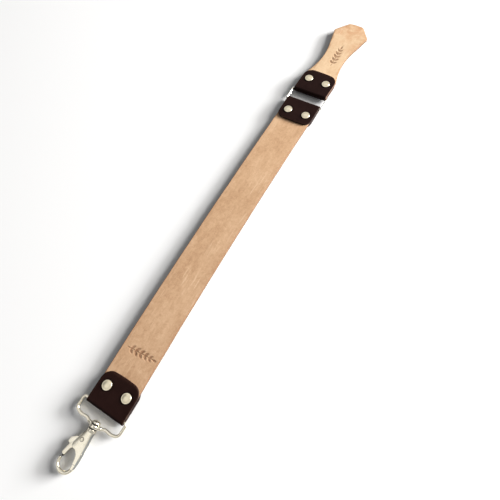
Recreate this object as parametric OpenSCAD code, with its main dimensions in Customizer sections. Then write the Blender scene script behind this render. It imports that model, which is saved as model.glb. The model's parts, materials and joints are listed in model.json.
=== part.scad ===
// Hanging leather strop: a long strap of smooth leather, a paddle-shaped handle
// joined to it by a wire ring, and a swivel trigger snap hook at the other end.
// It lies on its back. X runs across the strap, Y along it towards the handle,
// Z up. The origin is on the surface it lies on, under the middle of its length.

/* [Leather] */
// Width of the strap
strap_w = 50; // [44:0.5:52]
// Distance between the hook loop's bar and the ring's lower bar
bar_to_bar = 475.5; // [300:0.5:600]
// Thickness of the strap and of the handle
leather_t = 3.2; // [3.2:0.1:3.6]
// Step skived off the strap's face where the end pieces cover it
skive = 0.3; // [0.1:0.1:0.5]
// Thickness of the dark leather end pieces
chape_t = 2.2; // [1.8:0.1:2.2]

/* [End pieces] */
// Width of the end pieces
chape_w = 51.2; // [50:0.1:51.4]
// Length of the end piece at the hook, from its bar to its free end
hook_chape_len = 38; // [36:0.1:42]
// Length of the end piece at the ring's lower bar
ring_chape_len = 37.6; // [36:0.1:42]
// Length of the end piece on the handle
handle_chape_len = 39.6; // [36:0.1:42]
// Corner radius of the free end at the hook
hook_chape_r = 12; // [8:0.5:14]
// Corner radius of the free end at the ring
ring_chape_r = 9; // [8:0.5:14]
// Corner radius of the free end on the handle
handle_chape_r = 12; // [8:0.5:14]
// Distance of the rivets from the bar
rivet_reach = 21.4; // [18:0.1:24]
// Distance between the two rivets of a pair
rivet_pitch = 27.8; // [26:0.1:30]

/* [Rivets] */
// Diameter of a rivet cap
cap_d = 11.6; // [10:0.1:12]
// Height of a rivet cap above the leather
cap_h = 1.6; // [1.4:0.1:1.6]
// Diameter of a rivet post
post_d = 4; // [3:0.1:5]

/* [Handle] */
// Length of the handle from the ring's upper bar to its tip
handle_len = 155.2; // [150:0.2:160]
// Half of the handle's width at its waist
waist_half = 17.5; // [15:0.1:19]
// Distance of the waist from the bar
waist_y = 74; // [72:1:76]
// Radius of the hollow curve of the waist
waist_r = 108; // [100:1:116]
// Angle in degrees at which the handle lies to the strap
handle_skew = 2; // [0:0.1:2.5]

/* [Ring] */
// Diameter of the ring's wire
ring_wire = 3; // [2.8:0.1:3]
// Inner width of the ring
ring_inner_w = 52.4; // [52:0.1:54]
// Distance between the ring's two bars
ring_pitch = 22.3; // [20:0.1:24]

/* [Swivel loop] */
// Diameter of the loop's wire
loop_wire = 3; // [2.8:0.1:3]
// Half of the loop's width, to the middle of the wire
loop_half = 30; // [29:0.1:31]
// Distance of the eye's middle from the loop's bar
eye_reach = 19.4; // [19:0.1:20]
// Outer diameter of the eye
eye_d = 10.4; // [9:0.1:10.6]
// Length of the eye
eye_len = 4.6; // [4:0.1:4.8]
// Sideways place of the loop on the strap's middle line
loop_shift = -1.5; // [-2:0.1:2]

/* [Snap hook] */
// Thickness of the hook's body
body_t = 7; // [6.6:0.1:7.4]
// Diameter of the bow's wire
bow_wire = 3.8; // [3.4:0.1:4]
// Radius of the bow, to the middle of the wire
bow_r = 9.4; // [9:0.1:9.6]
// Radius of the seat at the bottom of the bow
seat_r = 6.6; // [6.2:0.1:6.8]
// Thickness of the seat
seat_t = 2.4; // [2:0.1:2.8]
// Thickness of the gate lever
lever_t = 3.4; // [3:0.1:3.6]
// Diameter of the gate's pivot pin
pivot_d = 3; // [2.6:0.1:3.2]

/* [Hidden] */
$fn = 64;
gap_side = 0.25;                             // room on each side of the gate lever
post_fit = 0.05;                             // radial room of a post in its hole
swivel_fit = 0.1;                            // radial running clearance of the swivel stud
mid_z = cap_h + chape_t + leather_t / 2;     // height of the middle plane of everything
fold_r = leather_t / 2;                      // inner radius of a fold
hook_below = 73.3;                           // from the loop's bar down to the bow's underside
total_len = hook_below + bar_to_bar + ring_pitch + handle_len;
loop_y = hook_below - total_len / 2;         // the loop's bar
low_bar_y = loop_y + bar_to_bar;             // the ring's lower bar
up_bar_y = low_bar_y + ring_pitch;           // the ring's upper bar
leather_start = 3.4;                         // from a bar to the end of the leather it holds
chape_crown = 190;                           // radius of the slightly domed free ends
stud_neck_d = 5;                             // swivel stud inside the eye
stud_head_d = 9.2;                           // swivel stud's head
stud_head_t = 3.3;
stud_play = 0.5;                             // room above and below the eye
collar_d = 9.4;                              // collar of the hook below the eye
bow_x = -4.4;                                // middle of the bow, from the swivel's axis
bow_y = -62;
seat_x = -4.6;                               // middle of the seat's circle
seat_y = -63;
seat_sweep = 58;                             // half of the seat's arc, in degrees
pivot_x = -2.3;                              // gate pivot, from the swivel's axis and the bar
pivot_y = -35.4;
slot_t = lever_t + 2 * gap_side;
spring_y = -43.2;                            // the gate spring lies across the slot here
spring_r = 1.25;                             // to the middle of its wire
spring_wire = 0.45;
spring_turns = 6;
spring_left = -4.9;                          // against the lever's pad
spring_right = 1.7;
dark_brown = [0.15, 0.1, 0.09];
tan_leather = [0.82, 0.66, 0.52];
golden_leather = [0.88, 0.74, 0.58];
nickel = [0.82, 0.8, 0.74];
pale_gold = [0.86, 0.82, 0.7];

// Points of the arc that rounds corner b between a and c.
function corner_arc(a, b, c, r, steps = 6) =
    let (
        u = (a - b) / norm(a - b),
        v = (c - b) / norm(c - b),
        half = acos(u * v) / 2,
        middle = b + (u + v) / norm(u + v) * r / sin(half),
        s = b + u * r / tan(half) - middle,
        e = b + v * r / tan(half) - middle,
        from = atan2(s.y, s.x),
        turn = (atan2(e.y, e.x) - from + 540) % 360 - 180
    )
    [for (i = [0 : steps]) middle + r * [cos(from + turn * i / steps), sin(from + turn * i / steps)]];

// A closed outline whose corners are rounded; each corner is [x, y, radius].
function rounded(corners) =
    let (n = len(corners))
    [
        for (i = [0 : n - 1])
            let (
                a = corners[(i + n - 1) % n],
                b = corners[i],
                c = corners[(i + 1) % n]
            )
            each b.z == 0 ? [[b.x, b.y]]
                : corner_arc([a.x, a.y], [b.x, b.y], [c.x, c.y], b.z)
    ];

function mirrored(points) = [for (i = [len(points) - 1 : -1 : 0]) [-points[i].x, points[i].y]];

// Places what follows on a bar: x across, y away from it, z from the middle plane.
module at_bar(y, flip = false, skew = 0) {
    translate([0, y, mid_z])
        mirror([0, flip ? 1 : 0, 0])
            rotate([0, 0, -skew])
                children();
}

module sheet(thickness, height = 0) {
    translate([0, 0, height - thickness / 2])
        linear_extrude(thickness)
            children();
}

module bar(length, d) {
    rotate([0, 90, 0])
        cylinder(h = length, d = d, center = true);
}

module rivet_holes() {
    for (side = [-1, 1])
        translate([side * rivet_pitch / 2, rivet_reach, 0])
            cylinder(h = 20, d = post_d + 2 * post_fit, center = true);
}

// ---- leather ----

module strap() {
    half = strap_w / 2;
    step = 0.2;                                  // room beyond the end pieces' free ends
    low_step = hook_chape_len + step;
    face_len = bar_to_bar - low_step - ring_chape_len - step;
    color(tan_leather)
        difference() {
            union() {
                translate([-half, loop_y + leather_start, mid_z - leather_t / 2])
                    cube([strap_w, bar_to_bar - 2 * leather_start, leather_t]);
                translate([-half, loop_y + low_step, mid_z])
                    cube([strap_w, face_len, leather_t / 2 + skive]);
            }
            at_bar(loop_y) rivet_holes();
            at_bar(low_bar_y, flip = true) rivet_holes();
        }
}

// Right half of the handle's outline, from the ring upwards.
function handle_side() =
    let (
        flare = 24,
        slope = flare / waist_r,
        start_dy = 40.5,
        flare_y = waist_y + flare,
        flare_x = waist_half + flare * flare / (2 * waist_r),
        shoulder_y = handle_len - 21.7,
        shoulder_x = flare_x + slope * (shoulder_y - flare_y)
    )
    [
        [strap_w / 2, leather_start],
        for (dy = [-start_dy : 4.5 : flare]) [waist_half + dy * dy / (2 * waist_r), waist_y + dy],
        each corner_arc([flare_x, flare_y], [shoulder_x, shoulder_y], [11.5, handle_len - 0.9], 5),
        each corner_arc([shoulder_x, shoulder_y], [11.5, handle_len - 0.9], [0, handle_len], 5)
    ];

module handle() {
    side = handle_side();
    color(golden_leather)
        at_bar(up_bar_y, skew = handle_skew)
            difference() {
                sheet(leather_t)
                    polygon(concat(side, [[0, handle_len]], mirrored(side)));
                rivet_holes();
            }
}

// One end piece: a strip of dark leather folded in half round a bar.
module chape(chape_len, corner_r, skew) {
    half = chape_w / 2;
    outer = fold_r + chape_t;
    straight = 4;
    turned = [for (side = [1, -1]) [
        side * half * cos(skew) + straight * sin(skew),
        straight * cos(skew) - side * half * sin(skew)
    ]];
    difference() {
        union() {
            difference() {
                bar(chape_w, 2 * outer);
                bar(chape_w + 2, 2 * fold_r);
                translate([-chape_w, 0, -outer - 1])
                    cube([2 * chape_w, 2 * outer, 2 * outer + 2]);
            }
            for (side = [-1, 1])
                sheet(chape_t, side * (fold_r + chape_t / 2)) {
                    rotate(-skew)
                        intersection() {
                            polygon(rounded([
                                [half, straight, 0],
                                [half, chape_len + 1, corner_r],
                                [-half, chape_len + 1, corner_r],
                                [-half, straight, 0]
                            ]));
                            translate([0, chape_len - chape_crown])
                                circle(chape_crown, $fn = 256);
                        }
                    polygon([[-half, 0], [half, 0], turned[0], turned[1]]);
                }
        }
        rotate(-skew) rivet_holes();
    }
}

module hook_chape() {
    color(dark_brown) at_bar(loop_y) chape(hook_chape_len, hook_chape_r, 0);
}

module ring_chape() {
    color(dark_brown) at_bar(low_bar_y, flip = true) chape(ring_chape_len, ring_chape_r, 0);
}

module handle_chape() {
    color(dark_brown) at_bar(up_bar_y) chape(handle_chape_len, handle_chape_r, handle_skew);
}

// ---- rivets ----

// Half outline of a low domed cap with a rolled rim, base on y = 0.
function cap_profile() =
    let (
        rim = 0.6,
        rise = cap_h - rim,
        dome_r = (pow(cap_d / 2 - 0.5, 2) + rise * rise) / (2 * rise)
    )
    [
        [0, 0], [cap_d / 2 - 0.2, 0], [cap_d / 2, 0.25], [cap_d / 2 - 0.1, rim - 0.1],
        for (i = [0 : 8])
            let (x = (cap_d / 2 - 0.5) * (1 - i / 8))
            [x, cap_h - dome_r + sqrt(dome_r * dome_r - x * x)]
    ];

module rivet_cap(y, side, flip = false, skew = 0) {
    socket = 0.8;
    color(pale_gold)
        at_bar(y, flip, skew)
            translate([side * rivet_pitch / 2, rivet_reach, leather_t / 2 + chape_t])
                difference() {
                    rotate_extrude() polygon(cap_profile());
                    translate([0, 0, -1])
                        cylinder(h = 1 + socket, d = post_d + 2 * post_fit);
                }
}

module rivet_post(y, side, flip = false, skew = 0) {
    stack = leather_t + 2 * chape_t;
    post_end = 0.7;
    color(pale_gold)
        at_bar(y, flip, skew)
            translate([side * rivet_pitch / 2, rivet_reach, -stack / 2])
                union() {
                    mirror([0, 0, 1])
                        rotate_extrude() polygon(cap_profile());
                    cylinder(h = stack + post_end, d = post_d);
                }
}

// ---- ring ----

module connecting_ring() {
    bend = 2;                                    // the bars are straight over the whole fold
    x = (ring_inner_w + ring_wire) / 2;
    y = ring_pitch / 2;
    color(nickel)
        translate([0, (low_bar_y + up_bar_y) / 2, mid_z]) {
            for (side = [-1, 1]) {
                translate([0, side * y, 0])
                    bar(2 * (x - bend), ring_wire);
                translate([side * x, 0, 0])
                    rotate([90, 0, 0])
                        cylinder(h = 2 * (y - bend), d = ring_wire, center = true);
                for (end = [-1, 1])
                    translate([side * (x - bend), end * (y - bend), 0])
                        mirror([side < 0 ? 1 : 0, 0, 0])
                            mirror([0, end < 0 ? 1 : 0, 0])
                                rotate_extrude(angle = 90)
                                    translate([bend, 0]) circle(d = ring_wire, $fn = 32);
            }
        }
}

// ---- swivel snap hook ----
// Everything here is placed from the swivel's axis and the loop's bar.

module at_hook() {
    translate([loop_shift, loop_y, mid_z])
        children();
}

module along_y(y_from, y_to, d) {
    translate([0, y_from, 0])
        rotate([y_to > y_from ? -90 : 90, 0, 0])
            cylinder(h = abs(y_to - y_from), d = d);
}

module swivel_loop() {
    top_bend = 3;
    bend = 6;
    low_y = -eye_reach + 0.9;                    // middle of the lower bar
    color(nickel)
        at_hook()
            difference() {
                union() {
                    bar(2 * (loop_half - top_bend), loop_wire);
                    for (side = [0, 1])
                        mirror([side, 0, 0]) {
                            translate([loop_half - top_bend, -top_bend, 0])
                                rotate_extrude(angle = 90)
                                    translate([top_bend, 0]) circle(d = loop_wire, $fn = 32);
                            translate([loop_half, 0, 0])
                                along_y(-top_bend, low_y + bend, loop_wire);
                            translate([loop_half - bend, low_y + bend, 0])
                                mirror([0, 1, 0])
                                    rotate_extrude(angle = 90)
                                        translate([bend, 0]) circle(d = loop_wire, $fn = 32);
                        }
                    translate([0, low_y, 0])
                        bar(2 * (loop_half - bend), loop_wire);
                    along_y(-eye_reach + eye_len / 2, -eye_reach - eye_len / 2, eye_d);
                }
                along_y(-eye_reach + eye_len, -eye_reach - eye_len, stud_neck_d + 2 * swivel_fit);
            }
}

// Outline of the hook's flat body, from the collar down to the start of the bow.
function body_outline() = rounded([
    [4.7, -23.4, 0], [5.6, -34, 8], [6.4, -46, 8], [bow_x + bow_r + 1.7, -58, 0],
    [bow_x + bow_r - 1.7, -58, 0], [1.6, -49.6, 6], [-3.4, -46.8, 4], [-9.6, -46.2, 3.2],
    [-9.4, -40, 6], [-7, -32, 8], [-4.8, -27, 5], [-4.7, -23.4, 0]
]);

module snap_hook() {
    eye_top = -eye_reach + eye_len / 2 + stud_play;
    eye_low = -eye_reach - eye_len / 2 - stud_play;
    spine_x = bow_x + bow_r;
    nose_x = bow_x - bow_r;
    slot_top = -31;
    color(nickel)
        at_hook()
            difference() {
                union() {
                    along_y(eye_top, eye_top + stud_head_t, stud_head_d);
                    along_y(eye_top, eye_low, stud_neck_d);
                    along_y(eye_low, eye_low - 3, collar_d);
                    sheet(body_t) polygon(body_outline());
                    translate([spine_x, 0, 0]) along_y(-52, bow_y, bow_wire);
                    translate([bow_x, bow_y, 0])
                        rotate([0, 0, 180])
                            rotate_extrude(angle = 180)
                                translate([bow_r, 0]) circle(d = bow_wire, $fn = 32);
                    translate([nose_x, 0, 0]) along_y(bow_y, bow_y + 2.4, bow_wire);
                    bow_seat();
                    // lip on the outside of the nose, which stops the gate
                    translate([nose_x - 1.5, bow_y + 2, -1.2]) cube([1.2, 2.8, 2.4]);
                }
                // slot for the gate, open towards the gate's side and the bow
                translate([-20, -52, -slot_t / 2]) cube([20.9, 52 + slot_top, slot_t]);
                translate([pivot_x, pivot_y, 0]) cylinder(h = 2 * body_t, d = pivot_d + 0.04, center = true);
                // pocket that holds the spring's fixed end
                translate([0, spring_y, 0])
                    rotate([0, 90, 0])
                        cylinder(h = spring_right + 0.25, r = spring_r + 0.5);
            }
}

// Crescent that gives the bow a round seat for what it hangs on.
module bow_seat() {
    difference() {
        intersection() {
            translate([bow_x, bow_y, 0]) cylinder(h = seat_t, r = bow_r, center = true);
            translate([seat_x, seat_y, 0])
                linear_extrude(seat_t, center = true)
                    polygon([[0, 0], for (a = [-90 - seat_sweep : seat_sweep / 4 : -90 + seat_sweep]) 20 * [cos(a), sin(a)]]);
        }
        translate([seat_x, seat_y, 0]) cylinder(h = 2 * seat_t, r = seat_r, center = true);
    }
}

// Outline of the gate lever: hub, thumb tab and arm.
function lever_outline() = rounded([
    [pivot_x + 2.6, pivot_y + 1.5, 2.4], [pivot_x - 1, pivot_y + 3.4, 2.4], [-6.6, -34.6, 1.5],
    [-10.6, -36.6, 1.5], [-15, -40, 1.6], [-15.9, -45, 1.4], [-12.4, -45.2, 1.5],
    [-15, -55.4, 0.5], [-14.6, -56.6, 0.3], [-13.1, -56.6, 0.2], [-13.1, -59, 0.4], [-11.6, -59.2, 0.6],
    [-9.2, -49, 3], [-5.4, -45.6, 1.2], [-5.4, -41, 1.2], [pivot_x - 1.6, pivot_y - 4.6, 0.8],
    [pivot_x + 2.2, pivot_y - 3, 2.4]
]);

module gate_lever() {
    color(nickel)
        at_hook()
            difference() {
                sheet(lever_t) polygon(lever_outline());
                translate([pivot_x, pivot_y, 0])
                    cylinder(h = 2 * body_t, d = pivot_d + 2 * swivel_fit, center = true);
            }
}

module gate_pin() {
    head_t = 0.4;
    head_d = 4.6;
    color(nickel)
        at_hook()
            translate([pivot_x, pivot_y, 0]) {
                cylinder(h = body_t, d = pivot_d, center = true);
                for (side = [-1, 1])
                    translate([0, 0, side * (body_t + head_t) / 2])
                        cylinder(h = head_t, d = head_d, center = true);
            }
}

// A round wire swept along a list of points, as one closed solid.
module swept_wire(path, d, sides = 8) {
    n = len(path);
    rings = [
        for (i = [0 : n - 1])
            let (
                ahead = path[min(i + 1, n - 1)] - path[max(i - 1, 0)],
                t = ahead / norm(ahead),
                u = cross(t, [1, 0, 0]) / norm(cross(t, [1, 0, 0])),
                v = cross(t, u)
            )
            for (k = [0 : sides - 1]) path[i] + d / 2 * (u * cos(360 * k / sides) + v * sin(360 * k / sides))
    ];
    walls = [
        for (i = [0 : n - 2], k = [0 : sides - 1])
            let (a = i * sides + k, b = i * sides + (k + 1) % sides)
            [a, b, b + sides, a + sides]
    ];
    start = [for (k = [sides - 1 : -1 : 0]) k];
    finish = [for (k = [0 : sides - 1]) (n - 1) * sides + k];
    polyhedron(points = rings, faces = concat(walls, [start, finish]));
}

module gate_spring() {
    steps = 12 * spring_turns;
    color(nickel)
        at_hook()
            translate([0, spring_y, 0])
                swept_wire([
                    for (i = [0 : steps])
                        let (a = 30 * i)
                        [
                            spring_left + (spring_right - spring_left) * i / steps,
                            spring_r * cos(a),
                            spring_r * sin(a)
                        ]
                ], spring_wire);
}

strap();
handle();
hook_chape();
ring_chape();
handle_chape();
rivet_cap(loop_y, -1);  // hook_rivet_left_cap
rivet_post(loop_y, -1);  // hook_rivet_left_post
rivet_cap(loop_y, 1);  // hook_rivet_right_cap
rivet_post(loop_y, 1);  // hook_rivet_right_post
rivet_cap(low_bar_y, -1, true);  // ring_rivet_left_cap
rivet_post(low_bar_y, -1, true);  // ring_rivet_left_post
rivet_cap(low_bar_y, 1, true);  // ring_rivet_right_cap
rivet_post(low_bar_y, 1, true);  // ring_rivet_right_post
rivet_cap(up_bar_y, -1, false, handle_skew);  // handle_rivet_left_cap
rivet_post(up_bar_y, -1, false, handle_skew);  // handle_rivet_left_post
rivet_cap(up_bar_y, 1, false, handle_skew);  // handle_rivet_right_cap
rivet_post(up_bar_y, 1, false, handle_skew);  // handle_rivet_right_post
connecting_ring();
swivel_loop();
snap_hook();
gate_lever();
gate_pin();
gate_spring();
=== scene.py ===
import json
import math

import bmesh
import bpy
from mathutils import Matrix, Vector, noise


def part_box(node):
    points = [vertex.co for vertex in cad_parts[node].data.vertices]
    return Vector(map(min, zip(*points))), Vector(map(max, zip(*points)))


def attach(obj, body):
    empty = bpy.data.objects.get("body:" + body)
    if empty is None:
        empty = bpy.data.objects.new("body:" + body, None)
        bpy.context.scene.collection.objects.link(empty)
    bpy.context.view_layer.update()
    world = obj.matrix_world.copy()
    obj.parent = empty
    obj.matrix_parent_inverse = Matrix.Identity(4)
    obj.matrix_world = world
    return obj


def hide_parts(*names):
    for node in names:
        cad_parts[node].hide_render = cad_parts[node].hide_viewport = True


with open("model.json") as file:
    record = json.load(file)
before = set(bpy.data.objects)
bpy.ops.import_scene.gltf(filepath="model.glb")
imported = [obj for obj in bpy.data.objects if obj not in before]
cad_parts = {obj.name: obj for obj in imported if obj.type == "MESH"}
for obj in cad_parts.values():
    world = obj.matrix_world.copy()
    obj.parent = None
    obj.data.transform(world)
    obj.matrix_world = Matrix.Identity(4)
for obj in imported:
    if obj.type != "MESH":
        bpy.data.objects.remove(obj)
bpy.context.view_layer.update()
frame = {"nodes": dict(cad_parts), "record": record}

# A hanging leather strop lying face up: strap, paddle handle, three folded end pieces, capped
# rivets, wire ring, swivel loop and trigger snap hook. Lengths are in metres unless a comment says
# otherwise, and mm() turns millimetres into metres. X runs across the strap, Y from the hook to the
# handle, and Z up.


def mm(*values):
    """Millimetres to metres: one number, or a vector of several."""
    return values[0] * 0.001 if len(values) == 1 else Vector(values) * 0.001


# ---- places taken from the frame ----

JOINT = {joint["name"]: Vector(joint["pos_m"]) for joint in frame["record"]["behaviour"]["joints"]}
HOOK_BAR_Y = JOINT["loop_hinge"].y
LOW_BAR_Y = JOINT["ring_hinge"].y
UP_BAR_Y = JOINT["handle_hinge"].y
MID_Z = JOINT["ring_hinge"].z
SWIVEL_X = JOINT["hook_swivel"].x
PIVOT = JOINT["gate_hinge"]

STRAP_LOW, STRAP_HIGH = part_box("strap")
STRAP_W = STRAP_HIGH.x - STRAP_LOW.x
LEATHER_T = 2 * (MID_Z - STRAP_LOW.z)
CHAPE_LOW, CHAPE_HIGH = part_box("hook_chape")
CHAPE_W = CHAPE_HIGH.x - CHAPE_LOW.x
CHAPE_T = CHAPE_HIGH.z - MID_Z - LEATHER_T / 2
FACE_Z = CHAPE_HIGH.z                            # outer face of the end pieces
HANDLE_SKEW = math.radians(2)
STRAP_BOW = mm(3.3)                              # sideways bow of the strap at mid-length


# ---- node helpers ----

def wire(tree, source, target):
    tree.links.new(source, target)


def feed(tree, socket, value):
    """Links another node's output to the socket, or sets the socket's own value."""
    if isinstance(value, bpy.types.NodeSocket):
        wire(tree, value, socket)
    else:
        socket.default_value = value


def put(tree, kind, **values):
    """A node with its settings and sockets filled in; i0, i1 and so on are sockets by number."""
    node = tree.nodes.new(kind)
    for key, value in values.items():
        if hasattr(node, key):
            setattr(node, key, value)
        else:
            numbered = key[0] == "i" and key[1:].isdigit()
            feed(tree, node.inputs[int(key[1:]) if numbered else key], value)
    return node


def math_node(tree, operation, a, b):
    return put(tree, "ShaderNodeMath", operation=operation, i0=a, i1=b).outputs[0]


def times(tree, a, b):
    return math_node(tree, "MULTIPLY", a, b)


def plus(tree, a, b):
    return math_node(tree, "ADD", a, b)


def remap(tree, value, low, high, to_low=0.0, to_high=1.0):
    node = put(tree, "ShaderNodeMapRange", i0=value, i1=low, i2=high, i3=to_low, i4=to_high)
    return node.outputs[0]


def mix_colours(tree, factor, a, b, blend="MIX"):
    node = tree.nodes.new("ShaderNodeMix")
    node.data_type = "RGBA"
    node.blend_type = blend
    node.clamp_result = True
    # the colour sockets of a Mix node are the seventh and eighth, and its colour comes out third
    for key, value in (("Factor", factor), (6, a), (7, b)):
        feed(tree, node.inputs[key], value)
    return node.outputs[2]


def fractal(tree, vector, scale, detail=3.0, roughness=0.5, distortion=0.0):
    node = put(tree, "ShaderNodeTexNoise", Vector=vector, Scale=scale, Detail=detail)
    node.inputs["Roughness"].default_value = roughness
    node.inputs["Distortion"].default_value = distortion
    return node.outputs["Fac"]


# ---- camera, light and floor ----

CAMERA_PLACE = mm(166.49, -181.43, 427.61)
CAMERA_RIGHT = Vector((0.863, 0.4964, -0.0941))
CAMERA_BACK = Vector((0.2635, -0.2833, 0.9221)).normalized()
CAMERA_LENS = 26.39                              # in millimetres, as the sensor's width is
CAMERA_SENSOR = 36
CARD_CORE = 0.6                                  # share of a card's radius that is evenly bright
BACKDROP_LEVEL = 0.7                             # brightness of the plain backdrop past the floor
FLOOR_HALF = 4


def make_camera():
    right = (CAMERA_RIGHT - CAMERA_BACK * CAMERA_RIGHT.dot(CAMERA_BACK)).normalized()
    up = CAMERA_BACK.cross(right)
    camera = bpy.data.objects.new("camera", bpy.data.cameras.new("camera"))
    camera.data.lens = CAMERA_LENS
    camera.data.sensor_width = CAMERA_SENSOR
    camera.data.clip_start = 0.01
    turned = Matrix((right, up, CAMERA_BACK)).transposed().to_4x4()
    camera.matrix_world = Matrix.Translation(CAMERA_PLACE) @ turned
    bpy.context.scene.collection.objects.link(camera)
    bpy.context.scene.camera = camera


def soft_light(name, place, width, height, power, tint=(1, 1, 1)):
    """A rectangular soft box that faces the middle of the strop."""
    light = bpy.data.lights.new(name, "AREA")
    light.shape = "RECTANGLE"
    light.size = width
    light.size_y = height
    light.energy = power
    light.color = tint
    lamp = bpy.data.objects.new(name, light)
    lamp.location = place
    lamp.rotation_euler = (-Vector(place)).to_track_quat("-Z", "Y").to_euler()
    bpy.context.scene.collection.objects.link(lamp)


def bright_patch(tree, direction, toward, wide, level):
    """A soft round card in the surroundings; wide is its radius in degrees."""
    facing = put(tree, "ShaderNodeVectorMath", operation="DOT_PRODUCT", i0=direction)
    facing.inputs[1].default_value = Vector(toward).normalized()
    inner, outer = math.cos(math.radians(wide * CARD_CORE)), math.cos(math.radians(wide))
    return remap(tree, facing.outputs["Value"], outer, inner, 0.0, level)


def make_studio():
    world = bpy.data.worlds.new("studio")
    world.use_nodes = True
    tree = world.node_tree
    sky = tree.nodes["Background"]
    direction = put(tree, "ShaderNodeTexCoord").outputs["Generated"]
    height = put(tree, "ShaderNodeSeparateXYZ", i0=direction).outputs["Z"]
    # mirror-like rays see bright cards and one dark one; the leather and floor get a dim even fill
    cards = remap(tree, height, 0.0, 0.5, 0.3, 0.5)
    for toward, wide, strength in (
        ((-0.3, -0.3, 0.9), 26, 0.62),
        ((-0.3, 0.58, 0.76), 28, 0.42),
        ((-0.9, -0.1, 0.45), 34, -0.32),
    ):
        cards = plus(tree, cards, bright_patch(tree, direction, toward, wide, strength))
    ray = tree.nodes.new("ShaderNodeLightPath")
    mirrored = ray.outputs["Is Glossy Ray"]
    fill = remap(tree, height, 0.1, 1.0, 0.08, 0.24)
    fill = times(tree, fill, math_node(tree, "SUBTRACT", 1.0, mirrored))
    level = plus(tree, fill, times(tree, cards, mirrored))
    backdrop = times(tree, ray.outputs["Is Camera Ray"], BACKDROP_LEVEL)
    level = plus(tree, level, backdrop)
    wire(tree, level, sky.inputs["Strength"])
    sky.inputs["Color"].default_value = (0.98, 0.99, 1.0, 1)
    bpy.context.scene.world = world
    bpy.context.scene.view_settings.view_transform = "Standard"
    soft_light("key", (3.5, 2.9, 2.05), 2.4, 1.8, 352, (1.0, 0.985, 0.96))
    soft_light("low_key", (3.5, 3.05, 0.95), 2.2, 0.8, 536)


def make_floor():
    bm = bmesh.new()
    bmesh.ops.create_grid(bm, x_segments=1, y_segments=1, size=FLOOR_HALF)
    mesh = bpy.data.meshes.new("floor")
    bm.to_mesh(mesh)
    bm.free()
    floor = bpy.data.objects.new("floor", mesh)
    bpy.context.scene.collection.objects.link(floor)
    paper = bpy.data.materials.new("floor_paper")
    paper.use_nodes = True
    shader = paper.node_tree.nodes["Principled BSDF"]
    shader.inputs["Base Color"].default_value = (0.93, 0.93, 0.93, 1)
    shader.inputs["Roughness"].default_value = 0.9
    shader.inputs["Specular IOR Level"].default_value = 0.1
    mesh.materials.append(paper)


# ---- shader node groups shared by the finishes ----

def new_group(name, sockets_in, sockets_out):
    group = bpy.data.node_groups.new(name, "ShaderNodeTree")
    for direction, sockets in (("INPUT", sockets_in), ("OUTPUT", sockets_out)):
        for label, kind in sockets:
            group.interface.new_socket(label, in_out=direction, socket_type="NodeSocket" + kind)
    return group, group.nodes.new("NodeGroupInput"), group.nodes.new("NodeGroupOutput")


def leather_grain_group():
    """Pores, hair cells and fine creases of the grain side, as a height and a pore mask."""
    group, given, out = new_group(
        "leather_grain",
        [("Vector", "Vector"), ("Cell Scale", "Float"), ("Crease", "Float")],
        [("Height", "Float"), ("Pores", "Float")],
    )
    place = given.outputs["Vector"]
    cells = put(group, "ShaderNodeTexVoronoi", feature="DISTANCE_TO_EDGE", Vector=place)
    wire(group, given.outputs["Cell Scale"], cells.inputs["Scale"])
    plates = remap(group, cells.outputs["Distance"], 0.0, 0.35)
    dots = put(group, "ShaderNodeTexVoronoi", feature="F1", Vector=place)
    wire(group, times(group, given.outputs["Cell Scale"], 0.8), dots.inputs["Scale"])
    pores = remap(group, dots.outputs["Distance"], 0.0, 0.16, 1.0, 0.0)
    creases = fractal(group, place, 260.0, 5.0, 0.6, 1.2)
    relief = times(group, plates, 0.35)
    relief = math_node(group, "SUBTRACT", relief, times(group, pores, 0.5))
    relief = plus(group, relief, times(group, creases, given.outputs["Crease"]))
    wire(group, relief, out.inputs["Height"])
    wire(group, pores, out.inputs["Pores"])
    return group


def tan_mottle_group():
    """Cloudy tone of vegetable-tanned leather: clouds, long streaks and small freckles."""
    group, given, out = new_group(
        "tan_mottle",
        [
            ("Vector", "Vector"), ("Light", "Color"), ("Middle", "Color"), ("Dark", "Color"),
            ("Cloud Scale", "Float"),
        ],
        [("Color", "Color"), ("Tone", "Float")],
    )
    place = given.outputs["Vector"]
    drawn = put(group, "ShaderNodeMapping", Vector=place)
    drawn.inputs["Scale"].default_value = (1.0, 0.42, 1.0)
    clouds = put(group, "ShaderNodeTexNoise", Vector=drawn.outputs[0], Detail=5.0, Roughness=0.62)
    wire(group, given.outputs["Cloud Scale"], clouds.inputs["Scale"])
    streaked = put(group, "ShaderNodeMapping", Vector=place)
    streaked.inputs["Scale"].default_value = (1.0, 0.16, 1.0)
    streaks = fractal(group, streaked.outputs[0], 330.0, 4.0, 0.65, 0.4)
    blotches = fractal(group, place, 230.0, 4.0, 0.65, 0.8)
    freckles = fractal(group, place, 800.0, 3.0, 0.75)
    tone = times(group, clouds.outputs["Fac"], 0.34)
    for pattern, weight in ((streaks, 0.18), (blotches, 0.34), (freckles, 0.14)):
        tone = plus(group, tone, times(group, pattern, weight))
    tone = remap(group, tone, 0.395, 0.605)
    dark, middle, light = (given.outputs[key] for key in ("Dark", "Middle", "Light"))
    low = mix_colours(group, remap(group, tone, 0.0, 0.5), dark, middle)
    high = mix_colours(group, remap(group, tone, 0.5, 1.0), low, light)
    wire(group, high, out.inputs["Color"])
    wire(group, tone, out.inputs["Tone"])
    return group


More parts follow.
